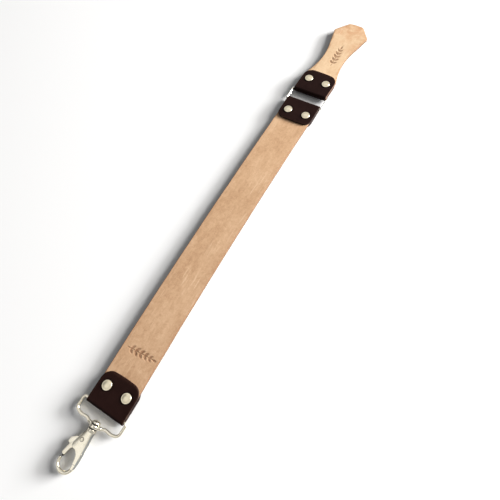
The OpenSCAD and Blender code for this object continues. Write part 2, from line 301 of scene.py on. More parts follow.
def fibre_group():
    """Layered fibres of a cut leather edge or flesh side, as a tone and a height."""
    group, given, out = new_group(
        "cut_fibres",
        [("Vector", "Vector"), ("Stretch", "Vector")],
        [("Tone", "Float"), ("Height", "Float")],
    )
    drawn = put(group, "ShaderNodeMapping", Vector=given.outputs["Vector"])
    wire(group, given.outputs["Stretch"], drawn.inputs["Scale"])
    fibres = fractal(group, drawn.outputs[0], 620.0, 6.0, 0.7, 0.8)
    wire(group, remap(group, fibres, 0.34, 0.66), out.inputs["Tone"])
    wire(group, fibres, out.inputs["Height"])
    return group


def handling_group():
    """Fine scratches, smudges and a slightly uneven polish on bright metal."""
    group, given, out = new_group(
        "handled_metal", [("Vector", "Vector")], [("Smudge", "Float"), ("Height", "Float")]
    )
    place = given.outputs["Vector"]
    smudges = fractal(group, place, 120.0, 4.0, 0.6)
    drawn = put(group, "ShaderNodeMapping", Vector=place)
    drawn.inputs["Scale"].default_value = (1.0, 0.08, 0.5)
    drawn.inputs["Rotation"].default_value = (0.2, 0.3, 0.6)
    scratches = fractal(group, drawn.outputs[0], 2600.0, 2.0, 0.5)
    waves = fractal(group, place, 420.0, 2.0, 0.5)
    wire(group, remap(group, smudges, 0.4, 0.66), out.inputs["Smudge"])
    height = plus(group, waves, times(group, scratches, 0.25))
    wire(group, height, out.inputs["Height"])
    return group


GRAIN = leather_grain_group()
MOTTLE = tan_mottle_group()
FIBRES = fibre_group()
HANDLING = handling_group()


def place_group(tree, group, **values):
    """Places a shared group in a material; an underscore in a name stands for a space."""
    node = tree.nodes.new("ShaderNodeGroup")
    node.node_tree = group
    for key, value in values.items():
        feed(tree, node.inputs[key.replace("_", " ")], value)
    return node


# ---- finishes ----

def new_material(name, **constants):
    """A material, its nodes, its shader with constants set on it, and the object coordinates."""
    material = bpy.data.materials.new(name)
    material.use_nodes = True
    tree = material.node_tree
    shader = tree.nodes["Principled BSDF"]
    for key, value in constants.items():
        shader.inputs[key.replace("_", " ")].default_value = value
    place = tree.nodes.new("ShaderNodeTexCoord").outputs["Object"]
    return material, tree, shader, place


def bumped(tree, shader, height, distance, strength):
    bump = put(tree, "ShaderNodeBump", Height=height, Distance=distance, Strength=strength)
    wire(tree, bump.outputs["Normal"], shader.inputs["Normal"])


def attribute_value(tree, name):
    return put(tree, "ShaderNodeAttribute", attribute_name=name).outputs["Fac"]


def tan_leather(name, light, middle, dark, painted_shade_from=None, warm_to=None):
    """Smooth tan grain side with faint scuffs, the burnt stamp and a darker handled rim.

    Each of the last two is (start, end, tint): the first a painted shade that fades out along Y,
    the second a tint that fades in along Y."""
    material, tree, shader, place = new_material(name, Specular_IOR_Level=0.32)
    tone = place_group(
        tree, MOTTLE, Vector=place, Light=light, Middle=middle, Dark=dark, Cloud_Scale=46.0
    )
    colour = tone.outputs["Color"]
    along = put(tree, "ShaderNodeSeparateXYZ", i0=place).outputs["Y"]
    # painted shade: a darker, cooler tint that fades out along Y
    if painted_shade_from:
        start, end, tint = painted_shade_from
        amount = remap(tree, along, start, end, 1.0, 0.0)
        colour = mix_colours(tree, times(tree, amount, 0.75), colour, tint, "MULTIPLY")
    if warm_to:
        start, end, tint = warm_to
        blotch = remap(tree, fractal(tree, place, 60.0, 4.0, 0.6), 0.42, 0.6)
        amount = times(tree, remap(tree, along, start, end), blotch)
        colour = mix_colours(tree, amount, colour, tint, "MULTIPLY")
    scuffed = put(tree, "ShaderNodeMapping", Vector=place)
    scuffed.inputs["Scale"].default_value = (1.0, 0.06, 1.0)
    scuffed.inputs["Rotation"].default_value = (0.0, 0.0, 0.12)
    scuffs = remap(tree, fractal(tree, scuffed.outputs[0], 560.0, 2.0, 0.5), 0.58, 0.68)
    rubbed = remap(tree, fractal(tree, place, 28.0, 2.0, 0.5), 0.48, 0.6, 0.0, 0.4)
    colour = mix_colours(tree, times(tree, scuffs, rubbed), colour, (0.82, 0.6, 0.41, 1))
    rim = attribute_value(tree, "rim")
    colour = mix_colours(tree, rim, colour, (0.6, 0.44, 0.33, 1), "MULTIPLY")
    burnt = attribute_value(tree, "stamp")
    uneven = remap(tree, fractal(tree, place, 520.0, 3.0, 0.6), 0.3, 0.7, 0.62, 1.0)
    burnt = times(tree, burnt, uneven)
    colour = mix_colours(tree, burnt, colour, (0.34, 0.22, 0.16, 1), "MULTIPLY")
    wire(tree, colour, shader.inputs["Base Color"])
    grain = place_group(tree, GRAIN, Vector=place, Cell_Scale=1500.0, Crease=0.9)
    wire(tree, remap(tree, tone.outputs["Tone"], 0.0, 1.0, 0.62, 0.5), shader.inputs["Roughness"])
    bumped(tree, shader, grain.outputs["Height"], 0.00007, 0.55)
    return material


def dark_leather():
    """Very dark brown leather of the end pieces, satin, a little worn along its edges, with painted
    shade in the dent round each rivet.
    """
    material, tree, shader, place = new_material("dark_leather", Specular_IOR_Level=0.06)
    cloud = remap(tree, fractal(tree, place, 70.0, 4.0, 0.6), 0.35, 0.65)
    colour = mix_colours(tree, cloud, (0.0108, 0.0035, 0.0027, 1), (0.0152, 0.0057, 0.0045, 1))
    grain = place_group(tree, GRAIN, Vector=place, Cell_Scale=1050.0, Crease=1.0)
    colour = mix_colours(
        tree, times(tree, grain.outputs["Pores"], 0.5), colour, (0.008, 0.004, 0.004, 1)
    )
    worn = attribute_value(tree, "rim")
    patchy = remap(tree, fractal(tree, place, 320.0, 4.0, 0.65), 0.42, 0.62)
    worn = times(tree, times(tree, worn, patchy), 0.4)
    colour = mix_colours(tree, worn, colour, (0.085, 0.04, 0.024, 1))
    # painted shade darkens the dent round each rivet cap
    dent_shade = attribute_value(tree, "dimple")
    colour = mix_colours(tree, times(tree, dent_shade, 0.6), colour, (0.007, 0.003, 0.003, 1))
    wire(tree, colour, shader.inputs["Base Color"])
    wire(tree, remap(tree, cloud, 0.0, 1.0, 0.62, 0.52), shader.inputs["Roughness"])
    bumped(tree, shader, grain.outputs["Height"], 0.0001, 0.75)
    return material


def cut_edge(name, light, dark, stretch, roughness):
    """Raw or burnished cut edge of leather, or its flesh side."""
    material, tree, shader, place = new_material(name, Specular_IOR_Level=0.25, Roughness=roughness)
    fibres = place_group(tree, FIBRES, Vector=place, Stretch=stretch)
    colour = mix_colours(tree, fibres.outputs["Tone"], dark, light)
    wire(tree, colour, shader.inputs["Base Color"])
    bumped(tree, shader, fibres.outputs["Height"], 0.0002, 0.7)
    return material


def bright_metal(name, tint, patina, roughness, smudge_roughness):
    """Polished plating: a tint with a faint patina, smudges and slight waves."""
    material, tree, shader, place = new_material(name, Metallic=1.0)
    handled = place_group(tree, HANDLING, Vector=place)
    colour = mix_colours(tree, times(tree, handled.outputs["Smudge"], 0.35), tint, patina)
    wire(tree, colour, shader.inputs["Base Color"])
    wire(
        tree,
        remap(tree, handled.outputs["Smudge"], 0.0, 1.0, roughness, smudge_roughness),
        shader.inputs["Roughness"],
    )
    bumped(tree, shader, handled.outputs["Height"], 0.00006, 0.35)
    return material


STRAP_FACE = tan_leather(
    "strap_grain",
    (0.675, 0.443, 0.268, 1), (0.585, 0.364, 0.208, 1), (0.475, 0.275, 0.148, 1),
    # painted shade: darker and cooler towards the hook end
    painted_shade_from=(-0.25, 0.1, (0.9, 0.9, 0.93, 1)),
)
HANDLE_FACE = tan_leather(
    "handle_grain",
    (0.76, 0.55, 0.345, 1), (0.7, 0.488, 0.298, 1), (0.61, 0.395, 0.223, 1),
    warm_to=(0.28, 0.35, (0.86, 0.7, 0.62, 1)),
)
ALONG_EDGE = (0.15, 0.15, 1.0)                   # fibres drawn out in the plane of the leather
TAN_EDGE = cut_edge(
    "tan_cut_edge", (0.16, 0.095, 0.058, 1), (0.11, 0.064, 0.039, 1), (0.12, 0.12, 1.0), 0.7
)
TAN_FLESH = cut_edge(
    "tan_flesh_side", (0.62, 0.42, 0.27, 1), (0.46, 0.28, 0.165, 1), (1.0, 0.4, 1.0), 0.9
)
DARK_FACE = dark_leather()
DARK_EDGE = cut_edge(
    "dark_cut_edge", (0.028, 0.013, 0.01, 1), (0.012, 0.0065, 0.0055, 1), ALONG_EDGE, 0.6
)
WORN_EDGE = cut_edge(
    "worn_cut_edge", (0.24, 0.125, 0.08, 1), (0.05, 0.022, 0.016, 1), ALONG_EDGE, 0.6
)
NICKEL = bright_metal("bright_nickel", (0.88, 0.815, 0.67, 1), (0.8, 0.71, 0.52, 1), 0.17, 0.27)
# painted dark reflection: a darker, rougher nickel for the hook's right wall and left rim
DARK_REFLECTION_NICKEL = bright_metal("dark_reflection_nickel", (0.25, 0.26, 0.25, 1), (0.2, 0.2, 0.18, 1), 0.34, 0.46)
RING_NICKEL = bright_metal("ring_nickel", (0.85, 0.82, 0.74, 1), (0.72, 0.68, 0.58, 1), 0.14, 0.28)
PALE_GOLD = bright_metal("pale_gold_caps", (0.92, 0.82, 0.61, 1), (0.82, 0.7, 0.48, 1), 0.32, 0.42)
# painted shade: near-black nickel for gaps, cut ends and the rims of the pin's heads
GAP_SHADE_NICKEL = bright_metal(
    "gap_shade_nickel", (0.05, 0.045, 0.038, 1), (0.03, 0.027, 0.022, 1), 0.45, 0.6
)
SPRING_WIRE = bright_metal("spring_wire", (0.55, 0.55, 0.54, 1), (0.4, 0.38, 0.35, 1), 0.25, 0.4)

# places in a piece's list of materials
GRAIN_SIDE, CUT_EDGE, FLESH_SIDE = 0, 1, 2
# 1 holds the painted shade of gaps, 2 the painted dark reflection of the hook's walls
GAP_SHADE, DARK_REFLECTION = 1, 2                                # the bright nickel is at 0, where faces start


# ---- building helpers ----

def finish_piece(bm, name, body, nodes, materials, smooth_angle=40):
    """Turns a bmesh into a piece that rides on its body and stands for its CAD nodes."""
    mesh = bpy.data.meshes.new(name)
    bm.to_mesh(mesh)
    bm.free()
    for material in materials:
        mesh.materials.append(material)
    mesh.shade_smooth()
    mesh.set_sharp_from_angle(angle=math.radians(smooth_angle))
    piece = bpy.data.objects.new(name, mesh)
    bpy.context.scene.collection.objects.link(piece)
    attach(piece, body)
    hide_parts(*nodes)
    return piece


def arc_corner(a, b, c, radius, steps=8):
    """Points of the arc that rounds corner b between a and c."""
    a, b, c = Vector(a), Vector(b), Vector(c)
    u, v = (a - b).normalized(), (c - b).normalized()
    half = math.acos(max(-1, min(1, u.dot(v)))) / 2
    middle = b + (u + v).normalized() * radius / math.sin(half)
    start = b + u * radius / math.tan(half) - middle
    end = b + v * radius / math.tan(half) - middle
    first = math.atan2(start.y, start.x)
    turn = (math.atan2(end.y, end.x) - first + 3 * math.pi) % (2 * math.pi) - math.pi
    angles = [first + turn * i / steps for i in range(steps + 1)]
    return [middle + radius * Vector((math.cos(t), math.sin(t))) for t in angles]


def rounded_outline(corners, steps=8):
    """A closed outline in metres; each corner is (x, y, radius) in millimetres."""
    outline = []
    for i, (x, y, radius) in enumerate(corners):
        before, after = corners[i - 1], corners[(i + 1) % len(corners)]
        if radius == 0:
            outline.append(Vector((x, y)))
        else:
            outline += arc_corner(before[:2], (x, y), after[:2], radius, steps)
    return [point * 0.001 for point in outline]


def slab(bm, outline, low, high):
    """A flat closed solid: the outline extruded from low to high."""
    ring = [bm.verts.new((x, y, low)) for x, y in outline]
    base = bm.faces.new(ring)
    lifted = bmesh.ops.extrude_face_region(bm, geom=[base])
    top = [v for v in lifted["geom"] if isinstance(v, bmesh.types.BMVert)]
    bmesh.ops.translate(bm, verts=top, vec=(0, 0, high - low))
    # extruding a single face keeps the base, so the shell is closed
    faces = {face for vert in ring + top for face in vert.link_faces}
    bmesh.ops.recalc_face_normals(bm, faces=list(faces))


def round_rims(bm, radius, segments):
    """Rounds the rims between the flat faces and the wall of a slab."""
    rims = [
        edge for edge in bm.edges
        if len(edge.link_faces) == 2
        and sorted(round(abs(face.normal.z)) for face in edge.link_faces) == [0, 1]
    ]
    bmesh.ops.bevel(
        bm, geom=rims, offset=radius, offset_type="OFFSET", segments=segments,
        profile=0.5, affect="EDGES", clamp_overlap=True, material=-1,
    )


def slice_across(bm, axis, places):
    """Cuts the mesh by planes across an axis, so that it can bend and be stamped."""
    normal = Vector((axis == 0, axis == 1, axis == 2))
    for place in places:
        geometry = bm.verts[:] + bm.edges[:] + bm.faces[:]
        bmesh.ops.bisect_plane(
            bm, geom=geometry, plane_co=normal * place, plane_no=normal, dist=1e-7
        )


def spaced(low, high, step):
    count = max(1, round((high - low) / step))
    return [low + (high - low) * i / count for i in range(count + 1)]


def set_values(mesh, name, values):
    """Stores a number for each vertex, which the materials read by its name."""
    attribute = mesh.attributes.new(name, "FLOAT", "POINT")
    attribute.data.foreach_set("value", values)


def smooth_step(value, low, high):
    """0 up to low, 1 from high, and an even S-curve between."""
    t = max(0.0, min(1.0, (value - low) / (high - low)))
    return t * t * (3 - 2 * t)


# ---- the stamp: a plain sprig of leaves pressed into the tan leather ----

STAMP_DEPTH = mm(0.28)
LEAF_PAIRS = 5
STEM_WAVE = 0.9                                  # in millimetres, as are the sprig's other sizes
STEM_HALF = 0.55
LEAF_SLIMNESS = 0.2


def leaf_cover(x, y, foot_x, foot_y, angle, length, width):
    """How far a point is inside a pointed leaf that grows from its foot at an angle, 0 to 1."""
    dx, dy = x - foot_x, y - foot_y
    along = dx * math.cos(angle) + dy * math.sin(angle)
    side = -dx * math.sin(angle) + dy * math.cos(angle)
    if not 0 < along < length:
        return 0.0
    half = width * math.sin(math.pi * (along / length) ** 0.8)
    return smooth_step(half - abs(side), -0.1, 0.35) * smooth_step(abs(side), 0.02, 0.28)


def stem_y(x, length):
    return STEM_WAVE * math.sin(x / length * math.pi)


def sprig_cover(x, y, length, leaf):
    """The sprig's mask at a point, in millimetres from its middle; it grows along +x."""
    cover = 0.0
    if abs(x) < length / 2:
        cover = smooth_step(STEM_HALF - abs(y - stem_y(x, length)), 0.0, 0.35)
    for i in range(LEAF_PAIRS):
        foot = -length * 0.36 + i * length * 0.16
        size = leaf * (1 - 0.07 * abs(i - 1.5))
        for side in (-1, 1):
            angle = side * math.radians(48 - 3 * i)
            foot_y = stem_y(foot, length)
            cover = max(cover, leaf_cover(x, y, foot, foot_y, angle, size, size * LEAF_SLIMNESS))
    end_y = STEM_WAVE * math.sin(0.44 * math.pi)
    return max(cover, leaf_cover(x, y, length * 0.42, end_y, 0.0, length * 0.17, length * 0.035))


def press_stamp(bm, place, turn, length, leaf, face_z):
    """Presses the sprig into the face at face_z, and gives back each vertex's share of it.

    length is the sprig's and leaf is its longest leaf's, both in millimetres."""
    cos_t, sin_t = math.cos(turn), math.sin(turn)
    shares = []
    for vert in bm.verts:
        dx, dy = (vert.co.x - place[0]) * 1000, (vert.co.y - place[1]) * 1000
        share = 0.0
        if abs(vert.co.z - face_z) < 1e-5 and max(abs(dx), abs(dy)) < length:
            share = sprig_cover(dx * cos_t + dy * sin_t, -dx * sin_t + dy * cos_t, length, leaf)
        shares.append(share)
    for vert, share in zip(bm.verts, shares):
        vert.co.z -= STAMP_DEPTH * share
    return shares


# ---- strap and handle ----

EDGE_ROUND = mm(0.7)                             # rounding of the tan leather's edges
RIM_W = mm(1.5)                                  # width of the darker handled rim
WANDER = mm(0.1)                                 # height of the leather's slow waves


def name_faces(bm):
    """Gives the tan leather its grain side, cut edge and flesh side."""
    for face in bm.faces:
        if abs(face.normal.z) < 0.72:
            face.material_index = CUT_EDGE
        elif face.normal.z < 0 and face.calc_center_median().z < MID_Z:
            face.material_index = FLESH_SIDE


def rim_share(bm, width, outline):
    """For each vertex, 1 at the outline, falling to 0 at the given width inside it."""
    shares = []
    segments = [(outline[i - 1], outline[i]) for i in range(len(outline))]
    for vert in bm.verts:
        point = vert.co.xy
        nearest = 1.0
        for a, b in segments:
            along = b - a
            t = max(0.0, min(1.0, (point - a).dot(along) / along.length_squared))
            nearest = min(nearest, (point - a - along * t).length)
        shares.append(1 - smooth_step(nearest, 0.0, width))
    return shares


def make_strap():
    half = STRAP_W / 2
    top, bottom = STRAP_HIGH.z, STRAP_LOW.z
    low_y, high_y = STRAP_LOW.y, STRAP_HIGH.y
    outline = [Vector(p) for p in ((-half, low_y), (half, low_y), (half, high_y), (-half, high_y))]
    bm = bmesh.new()
    slab(bm, outline, bottom, top)
    round_rims(bm, EDGE_ROUND, 4)
    stamp_y = HOOK_BAR_Y + mm(68)
    slice_across(bm, 1, spaced(low_y, high_y, mm(8))[1:-1])
    slice_across(bm, 1, spaced(stamp_y - mm(12), stamp_y + mm(12), mm(0.4)))
    slice_across(bm, 0, spaced(-half + mm(1), half - mm(1), mm(0.8)))
    bmesh.ops.recalc_face_normals(bm, faces=bm.faces[:])
    name_faces(bm)
    stamped = press_stamp(bm, (0.0, stamp_y), turn=0.0, length=38, leaf=8.2, face_z=top)
    # only the long edges show, as the end pieces cover the ends
    left_rim = rim_share(bm, RIM_W, [outline[0], outline[3]])
    right_rim = rim_share(bm, RIM_W, [outline[1], outline[2]])
    rims = [max(a, b) for a, b in zip(left_rim, right_rim)]
    # the face is thinned under the end pieces, with a short slope out of them
    skive_low = HOOK_BAR_Y + mm(38.2)
    skive_high = LOW_BAR_Y - mm(37.8)
    slope = mm(1.2)
    skive = top - (MID_Z + LEATHER_T / 2)
    for vert in bm.verts:
        x, y, z = vert.co
        t = (y - HOOK_BAR_Y) / (LOW_BAR_Y - HOOK_BAR_Y)
        covered = max(
            1 - smooth_step(y, skive_low - slope, skive_low),
            smooth_step(y, skive_high, skive_high + slope),
        )
        upper = smooth_step(z, MID_Z, top)
        vert.co.z -= upper * skive * covered
        free = 1 - covered
        wander = noise.noise(Vector((x * 24, y * 16, 0.0)))
        vert.co.z += WANDER * (wander - 0.6) * upper * free
        edge = noise.noise(Vector((0.0, y * 22, 3.0 + (x > 0) * 5)))
        vert.co.x += mm(0.25) * edge * abs(x) / half * free
        vert.co.x -= STRAP_BOW * 4 * t * (1 - t)
    finishes = [STRAP_FACE, TAN_EDGE, TAN_FLESH]
    piece = finish_piece(bm, "strap_leather", "strap", ["strap"], finishes)
    set_values(piece.data, "stamp", stamped)
    set_values(piece.data, "rim", rims)


def handle_half():
    """Right half of the handle's outline from the ring upwards, in millimetres from the bar."""
    waist, waist_y, waist_r = 17.5, 74.0, 108.0  # half width, height and curve of the waist
    flare = 24.0                                 # length of the waist's curve above its narrowest
    length = (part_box("handle")[1].y - UP_BAR_Y) * 1000
    slope = flare / waist_r
    flare_x = waist + flare * flare / (2 * waist_r)
    shoulder_y = length - 21.7
    shoulder_x = flare_x + slope * (shoulder_y - waist_y - flare)
    side = [(STRAP_W / 2 * 1000, 3.4)]
    # points along the waist's curve, from the wide foot up to the flare
    for i in range(30):
        dy = -40.5 + i * 2.2
        if dy < flare - 3:
            side.append((waist + dy * dy / (2 * waist_r), waist_y + dy))
    flare_point, shoulder = (flare_x, waist_y + flare), (shoulder_x, shoulder_y)
    tip = (11.5, length - 0.9)
    side.append(flare_point)
    point = (0, length)
    side += [tuple(p) for p in arc_corner(flare_point, shoulder, tip, 5.5, 10)]
    side += [tuple(p) for p in arc_corner(shoulder, tip, point, 6, 6)]
    return side + [point]


def make_handle():
    side = handle_half()
    outline = [Vector(p) * 0.001 for p in side]
    outline += [Vector((-p.x, p.y)) for p in reversed(outline[:-1])]
    bottom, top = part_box("handle")[0].z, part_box("handle")[1].z
    bm = bmesh.new()
    slab(bm, outline, bottom, top)
    round_rims(bm, EDGE_ROUND, 4)
    stamp_y = mm(80)
    slice_across(bm, 1, spaced(mm(8), mm(148), mm(5)))
    slice_across(bm, 1, spaced(stamp_y - mm(22), stamp_y + mm(22), mm(0.45)))
    slice_across(bm, 0, spaced(-mm(9), mm(9), mm(0.45)))
    slice_across(bm, 0, spaced(-mm(24), mm(24), mm(4)))
    bmesh.ops.recalc_face_normals(bm, faces=bm.faces[:])
    name_faces(bm)
    upright = math.radians(90)
    stamped = press_stamp(bm, (mm(1.0), stamp_y), turn=upright, length=41, leaf=9.2, face_z=top)
    rims = rim_share(bm, RIM_W, outline)
    for vert in bm.verts:
        wander = noise.noise(Vector((vert.co.x * 28, vert.co.y * 20, 7.0)))
        upper = smooth_step(vert.co.z, MID_Z, top)
        vert.co.z += WANDER * (wander - 0.6) * upper * smooth_step(vert.co.y, mm(40), mm(46))
    skewed = Matrix.Rotation(-HANDLE_SKEW, 3, "Z")
    bmesh.ops.rotate(bm, verts=bm.verts[:], cent=(0, 0, 0), matrix=skewed)
    bmesh.ops.translate(bm, verts=bm.verts[:], vec=(0, UP_BAR_Y, 0))
    finishes = [HANDLE_FACE, TAN_EDGE, TAN_FLESH]
    piece = finish_piece(bm, "handle_leather", "handle", ["handle"], finishes)
    set_values(piece.data, "stamp", stamped)
    set_values(piece.data, "rim", rims)


# ---- folded end pieces ----

RIVET_REACH = mm(21.4)                           # from the bar to the rivets
RIVET_PITCH = mm(27.8)
CAP_R = mm(5.8)
DIMPLE = mm(0.35)                                # how far a cap pulls the leather in
RIVET_ZONE = mm(9)                               # half width of the finely cut part round a rivet
SINK = mm(0.12)                                  # the leather's mean face under its highest places


def make_chape(node, bar_y, away, corner_radius, length, skew, body, edge):
    """A strip of dark leather, cut flat with round corners, then folded in half round a bar.

    The strip is built flat: x across, y along it from the middle of the fold, z through it, and
    the face that shows is at z = CHAPE_T. away is the way it lies from the bar, along Y."""
    half = CHAPE_W / 2
    fold_r = LEATHER_T / 2
    turn_length = math.pi * (fold_r + CHAPE_T / 2)
    reach = length + turn_length / 2
    crown = mm(1.6)                              # bow of the far end
    corner = mm(corner_radius)
    end = []
    for x in spaced(-half + corner, half - corner, mm(2)):
        end.append(Vector((x, reach - crown * (x / half) ** 2)))
    shoulder = reach - crown
    steps = 10
    for i in range(1, steps + 1):
        t = math.pi / 2 * i / steps
        droop = crown * (1 - ((half - corner) / half) ** 2) * (1 - i / steps)
        side_y = shoulder - corner * (1 - math.cos(t)) + droop
        end.append(Vector((half - corner + corner * math.sin(t), side_y)))
    left = [Vector((-p.x, p.y)) for p in reversed(end) if p.x > half - corner + 1e-7]
    far_end = left + end
    outline = far_end + [Vector((p.x, -p.y)) for p in reversed(far_end)]
    bm = bmesh.new()
    slab(bm, outline, 0.0, CHAPE_T)
    round_rims(bm, mm(0.45), 3)
    slice_across(bm, 1, spaced(-turn_length / 2, turn_length / 2, mm(0.5)))
    for side in (-1, 1):
        near = side * (turn_length / 2 + RIVET_REACH - RIVET_ZONE)
        far = side * (turn_length / 2 + RIVET_REACH + RIVET_ZONE)
        slice_across(bm, 1, spaced(near, far, mm(0.9)))
    slice_across(bm, 1, spaced(-reach, reach, mm(4))[1:-1])
    for side in (-1, 1):
        rivet_x = side * RIVET_PITCH / 2
        slice_across(bm, 0, spaced(rivet_x - RIVET_ZONE, rivet_x + RIVET_ZONE, mm(0.9)))
    slice_across(bm, 0, spaced(-half + mm(0.6), half - mm(0.6), mm(3)))
    bmesh.ops.recalc_face_normals(bm, faces=bm.faces[:])
    for face in bm.faces:
        if abs(face.normal.z) < 0.6:
            face.material_index = CUT_EDGE
        else:
            face.material_index = GRAIN_SIDE if face.normal.z > 0 else FLESH_SIDE
    rims = rim_share(bm, mm(1.3), outline)
    dent_shade_shares = []
    fold_y = turn_length / 2
    for vert in bm.verts:
        x, y, z = vert.co
        outer = z / CHAPE_T
        beyond = abs(y) - fold_y                 # distance past the bar, on either leaf
        dimple = 0.0
        for side in (-1, 1):
            gap = math.hypot(x - side * RIVET_PITCH / 2, beyond - RIVET_REACH)
            dimple = max(dimple, 1 - smooth_step(gap, CAP_R - mm(0.4), CAP_R + mm(3.2)))
        # the dent's share also sets the painted shade round each cap
        dent_shade_shares.append(dimple * outer)
        wander = noise.noise(Vector((x * 45, y * 38, bar_y * 50)))
        inside = smooth_step(min(half - abs(x), reach - abs(y)), 0.0, mm(4))
        puff = SINK * wander * (1 - dimple) * inside
        depth = z + outer * (puff - SINK - DIMPLE * dimple)
        if beyond < 0:
            angle = y / (fold_r + CHAPE_T / 2)
            radius = fold_r + depth
            vert.co = Vector((x, -radius * math.cos(angle), radius * math.sin(angle)))
        else:
            side = 1 if y > 0 else -1
            turned = skew * smooth_step(beyond, 0.0, mm(6))
            place = Matrix.Rotation(-turned, 2) @ Vector((x, beyond))
            vert.co = Vector((place.x, place.y, side * (fold_r + depth)))
    for vert in bm.verts:
        vert.co = Vector((vert.co.x, bar_y + away * vert.co.y, MID_Z + vert.co.z))
    bmesh.ops.recalc_face_normals(bm, faces=bm.faces[:])
    finishes = [DARK_FACE, edge, DARK_EDGE]
    piece = finish_piece(bm, node + "_leather", body, [node], finishes)
    set_values(piece.data, "rim", rims)
    set_values(piece.data, "dimple", dent_shade_shares)


# ---- turned pieces: rivets, pin ----

def spin_profile(bm, profile, steps=64):
    """Turns a half outline (radius, height) in metres into a closed solid of revolution about Z."""
    verts = [bm.verts.new((radius, 0, height)) for radius, height in profile]
    edges = [bm.edges.new(pair) for pair in zip(verts, verts[1:])]
    bmesh.ops.spin(
        bm, geom=verts + edges, cent=(0, 0, 0), axis=(0, 0, 1), angle=2 * math.pi,
        steps=steps, use_merge=True, use_duplicate=False,
    )
    bmesh.ops.remove_doubles(bm, verts=bm.verts[:], dist=1e-6)
    bmesh.ops.recalc_face_normals(bm, faces=bm.faces[:])


def cap_profile(cap_h):
    """Domed cap with a rolled rim and a shallow ring inside it."""
    rim_r, foot_h = mm(0.42), mm(0.72)           # roll of the rim, height where the dome starts
    points = [(0.0, 0.0), (CAP_R - mm(0.5), 0.0)]
    for i in range(9):
        t = math.radians(-90 + 22.5 * i)
        points.append((CAP_R - rim_r + rim_r * math.cos(t), rim_r + rim_r * math.sin(t)))
    inner = CAP_R - mm(0.95)
    for i in range(13):
        x = inner * (1 - i / 12)
        points.append((x, foot_h + (cap_h - foot_h) * (1 - (x / inner) ** 2.4)))
    return points


def post_profile(stack, cap_h):
    """Tubular post on a back cap; the cap's outer face points down."""
    back = [(x, -z) for x, z in cap_profile(cap_h)]
    back.reverse()
    post_r, post_end = mm(2.0), stack + mm(0.7)
    chamfer = mm(0.3)
    shaft = [
        (post_r, 0.0), (post_r, post_end - chamfer), (post_r - chamfer, post_end), (0.0, post_end),
    ]
    return back[:-1] + shaft


def make_rivet(end, bar_y, away, side, skew, body):
    cap_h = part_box(f"{end}_rivet_left_cap")[1].z - FACE_Z
    stack = LEATHER_T + 2 * CHAPE_T
    way = -1 if side == "left" else 1
    place = Matrix.Rotation(-skew, 2) @ Vector((way * RIVET_PITCH / 2, RIVET_REACH))
    spot = Vector((place.x, bar_y + away * place.y, 0))
    parts = (
        ("cap", cap_profile(cap_h), FACE_Z - SINK),
        ("post", post_profile(stack, cap_h), MID_Z - stack / 2),
    )
    for part, profile, height in parts:
        bm = bmesh.new()
        spin_profile(bm, profile)
        bmesh.ops.translate(bm, verts=bm.verts[:], vec=spot + Vector((0, 0, height)))
        node = f"{end}_rivet_{side}_{part}"
        finish_piece(bm, node + "_metal", body, [node], [PALE_GOLD], 50)


# ---- bent wire ----

def sweep(bm, path, radii, closed=False, sides=20):
    """Round wire along a path: a circle extruded from point to point and turned to follow it."""
    count = len(path)
    radii = radii if isinstance(radii, list) else [radii] * count

    def direction(i):
        if closed:
            return (path[(i + 1) % count] - path[i - 1]).normalized()
        return (path[min(i + 1, count - 1)] - path[max(i - 1, 0)]).normalized()

    heading = direction(0)
    start = Matrix.Translation(path[0]) @ heading.to_track_quat("Z", "Y").to_matrix().to_4x4()
    circle = bmesh.ops.create_circle(bm, segments=sides, radius=radii[0], matrix=start)
    ring = circle["verts"]
    first = [e for e in bm.edges if e.verts[0] in ring and e.verts[1] in ring]
    edges = first
    for i in range(1, count):
        made = bmesh.ops.extrude_edge_only(bm, edges=edges)["geom"]
        ring = [g for g in made if isinstance(g, bmesh.types.BMVert)]
        inside = set(ring)
        edges = [
            g for g in made
            if isinstance(g, bmesh.types.BMEdge) and inside.issuperset(g.verts)
        ]
        new_heading = direction(i)
        lean = heading.rotation_difference(new_heading).to_matrix().to_4x4()
        grow = Matrix.Scale(radii[i] / radii[i - 1], 4)
        move = Matrix.Translation(path[i]) @ lean @ grow @ Matrix.Translation(-path[i - 1])
        bmesh.ops.transform(bm, matrix=move, verts=ring)
        heading = new_heading
    if closed:
        bmesh.ops.bridge_loops(bm, edges=first + edges)
    else:
        bmesh.ops.edgeloop_fill(bm, edges=first)
        bmesh.ops.edgeloop_fill(bm, edges=edges)
    bmesh.ops.recalc_face_normals(bm, faces=bm.faces[:])


def bent_path(corners):
    """A path in millimetres through corners (x, y, bend radius)."""
    path = []
    for i, (x, y, radius) in enumerate(corners):
        if radius:
            before, after = corners[i - 1], corners[(i + 1) % len(corners)]
            path += arc_corner(before[:2], (x, y), after[:2], radius, 10)
        else:
            path.append(Vector((x, y)))
    return path


